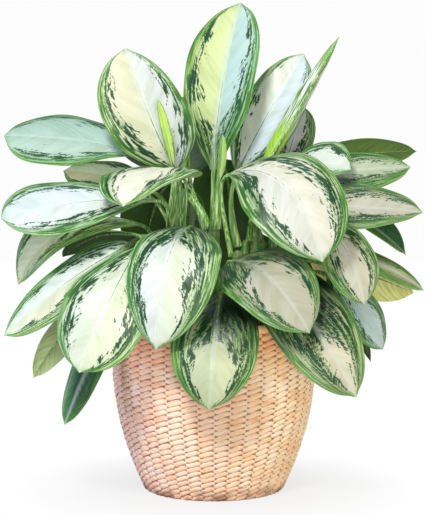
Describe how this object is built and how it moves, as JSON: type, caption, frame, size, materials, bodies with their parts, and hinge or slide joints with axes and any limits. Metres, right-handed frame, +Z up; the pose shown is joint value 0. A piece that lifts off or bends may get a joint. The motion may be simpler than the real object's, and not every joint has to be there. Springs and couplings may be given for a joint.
{
  "type": "potted chinese evergreen",
  "caption": "Bushy house plant with broad silver and green leaves on short canes, rooted in a grow pot that stands in a twined straw basket.",
  "frame": {"origin": "centre of the basket's underside, on the surface it stands on", "axes": "+Z up, the front of the plant faces -Y, +X to the right as seen from the front"},
  "size_m": [0.6275, 0.4754, 0.7342],
  "materials": {
    "woven_straw": "matt twined water hyacinth cord",
    "black_plastic": "satin moulded polypropylene",
    "potting_mix": "rough crumbled bark and peat",
    "cane": "satin green stem skin with ringed leaf scars",
    "leaf": "glossy waxy leaf, silver centre and striped green margins"
  },
  "bodies": {
    "root": {"basket_wall": "woven_straw", "basket_rim": "woven_straw", "basket_base": "woven_straw", "saucer": "black_plastic", "grow_pot": "black_plastic", "potting_mix": "potting_mix", "cane_a": "cane", "cane_b": "cane", "cane_c": "cane", "cane_d": "cane", "cane_e": "cane", "cane_f": "cane", "cane_g": "cane", "leaf_a1_low": "leaf", "leaf_a2_left": "leaf", "leaf_a3_upper": "leaf", "leaf_a4_behind": "leaf", "leaf_a5_top": "leaf", "leaf_a6_pale": "leaf", "leaf_a8_spear": "leaf", "leaf_b1_low": "leaf", "leaf_b2_front": "leaf", "leaf_b3_front": "leaf", "leaf_b4_curl": "leaf", "leaf_b5_hang": "leaf", "leaf_c1_low": "leaf", "leaf_c2_right": "leaf", "leaf_c3_low": "leaf", "leaf_c4_upper": "leaf", "leaf_d1_right": "leaf", "leaf_d2_right": "leaf", "leaf_d3_low": "leaf", "leaf_d4_hang": "leaf", "leaf_d5_behind": "leaf", "leaf_d6_small": "leaf", "leaf_f9_yellow": "leaf", "leaf_f10_tip": "leaf", "leaf_e1_crown": "leaf", "leaf_e5_spear": "leaf", "leaf_f1_top": "leaf", "leaf_f2_spear": "leaf", "leaf_f3_back": "leaf", "leaf_f4_right": "leaf", "leaf_f5_right": "leaf", "leaf_a7_back": "leaf", "leaf_e2_back": "leaf", "leaf_e3_back": "leaf", "leaf_e4_low": "leaf", "leaf_e6_rise": "leaf", "leaf_f6_back": "leaf", "leaf_f7_low": "leaf", "leaf_f8_hang": "leaf", "leaf_g1_left": "leaf", "leaf_g2_back": "leaf", "leaf_g3_low": "leaf", "leaf_g4_hang": "leaf", "leaf_g5_spear": "leaf", "leaf_g6_inner": "leaf"}
  },
  "joints": []
}
